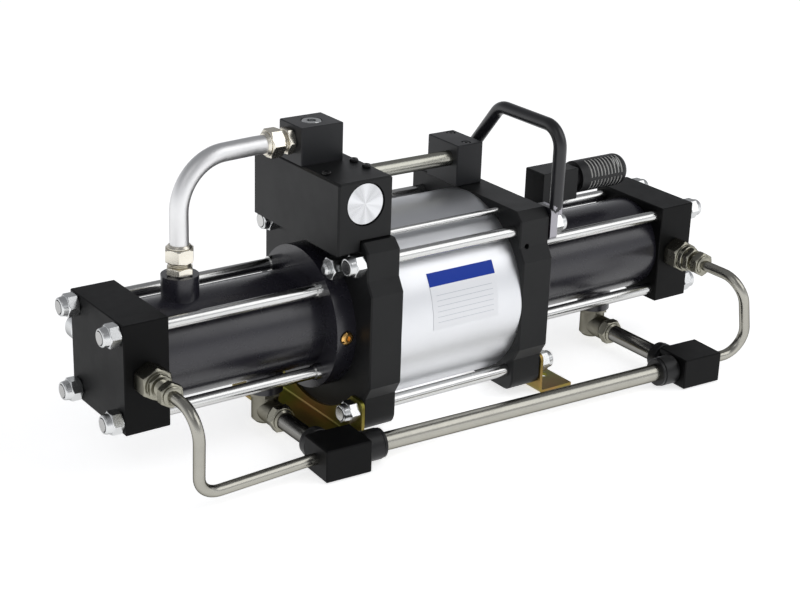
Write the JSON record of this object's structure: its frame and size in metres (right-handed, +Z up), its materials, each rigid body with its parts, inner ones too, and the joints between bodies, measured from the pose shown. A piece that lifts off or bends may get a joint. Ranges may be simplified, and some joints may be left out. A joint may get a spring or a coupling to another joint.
{
  "type": "gas booster pump",
  "caption": "Two-stage air-driven gas booster with a wide drive barrel, a gas barrel on each side, a cycling valve, a carrying handle and a tube-in-tube intercooler.",
  "frame": {"origin": "middle of the four foot bolt holes, on the floor plane under the feet", "axes": "+X along the pump axis from the first stage to the second, +Y away from the pipework side, +Z up"},
  "size_m": [0.649, 0.2335, 0.268],
  "materials": {
    "black_metal": "satin black",
    "barrel_aluminium": "brushed",
    "bright_steel": "satin",
    "polished_steel": "polished",
    "nickel": "nickel plated",
    "brass": "satin",
    "bronze": "satin",
    "zinc_yellow": "passivated",
    "black_steel": "satin black",
    "black_plastic": "matte",
    "seal_rubber": "matte",
    "label_sheet": "satin"
  },
  "bodies": {
    "housing": {"air_barrel": "barrel_aluminium", "left_drive_head": "black_metal", "right_drive_head": "black_metal", "drive_tie_rods": "bright_steel", "gas_tie_rods": "bright_steel", "tie_rod_nuts": "bright_steel", "gas_flanges": "black_metal", "vent_plugs": "brass", "left_cooling_jacket": "black_metal", "right_cooling_jacket": "black_metal", "left_gas_liner": "bright_steel", "right_gas_liner": "bright_steel", "left_end_cap": "black_metal", "right_end_cap": "black_metal", "rod_bushes": "bronze", "rod_seals": "seal_rubber", "pilot_plugs": "bright_steel", "signal_tube": "bright_steel", "valve_body": "black_metal", "valve_plugs": "barrel_aluminium", "snap_rings": "black_steel", "exhaust_manifold": "black_metal", "manifold_plug": "bright_steel", "transfer_tube": "polished_steel", "transfer_block": "black_metal", "cap_screws": "black_steel", "cooling_adapters": "nickel", "cooling_nuts": "nickel", "cooling_tube": "polished_steel", "elbows": "nickel", "elbow_nuts": "nickel", "back_pipes": "bright_steel", "tee_blocks": "black_metal", "tee_nuts": "black_metal", "intercooler_tube": "bright_steel", "gas_tube": "bright_steel", "interstage_fittings": "bright_steel", "gas_tube_nuts": "bright_steel", "gas_port_fittings": "bright_steel", "muffler_block": "black_metal", "muffler": "black_plastic", "handle": "black_steel", "feet": "zinc_yellow", "label_plate": "label_sheet"},
    "pistons": {"drive_piston": "barrel_aluminium", "piston_rod": "bright_steel", "left_gas_piston": "bright_steel", "right_gas_piston": "bright_steel", "piston_seals": "seal_rubber"},
    "spool": {"valve_spool": "bright_steel"},
    "left_pilot": {"left_pilot_stem": "bright_steel"},
    "right_pilot": {"right_pilot_stem": "bright_steel"},
    "first_inlet_check": {"first_inlet_poppet": "bright_steel"},
    "first_outlet_check": {"first_outlet_poppet": "bright_steel"},
    "second_inlet_check": {"second_inlet_poppet": "bright_steel"},
    "second_outlet_check": {"second_outlet_poppet": "bright_steel"}
  },
  "joints": [
    {"name": "piston_slide", "type": "slide", "parent": "housing", "child": "pistons", "axis": [1, 0, 0], "range_m": [-0.047, 0.047]},
    {"name": "spool_slide", "type": "slide", "parent": "housing", "child": "spool", "axis": [0, 1, 0], "range_m": [-0.006, 0.006]},
    {"name": "left_pilot_slide", "type": "slide", "parent": "housing", "child": "left_pilot", "axis": [-1, 0, 0], "range_m": [0, 0.004], "stiffness_N_per_m": 2000, "springref_m": -0.004},
    {"name": "right_pilot_slide", "type": "slide", "parent": "housing", "child": "right_pilot", "axis": [1, 0, 0], "range_m": [0, 0.004], "stiffness_N_per_m": 2000, "springref_m": -0.004},
    {"name": "first_inlet_lift", "type": "slide", "parent": "housing", "child": "first_inlet_check", "axis": [0, -1, 0], "range_m": [0, 0.0025], "stiffness_N_per_m": 400, "springref_m": -0.0025},
    {"name": "first_outlet_lift", "type": "slide", "parent": "housing", "child": "first_outlet_check", "axis": [0, -1, 0], "range_m": [0, 0.0025], "stiffness_N_per_m": 400, "springref_m": -0.0025},
    {"name": "second_inlet_lift", "type": "slide", "parent": "housing", "child": "second_inlet_check", "axis": [0, 1, 0], "range_m": [0, 0.0025], "stiffness_N_per_m": 400, "springref_m": -0.0025},
    {"name": "second_outlet_lift", "type": "slide", "parent": "housing", "child": "second_outlet_check", "axis": [0, 1, 0], "range_m": [0, 0.0025], "stiffness_N_per_m": 400, "springref_m": -0.0025}
  ]
}
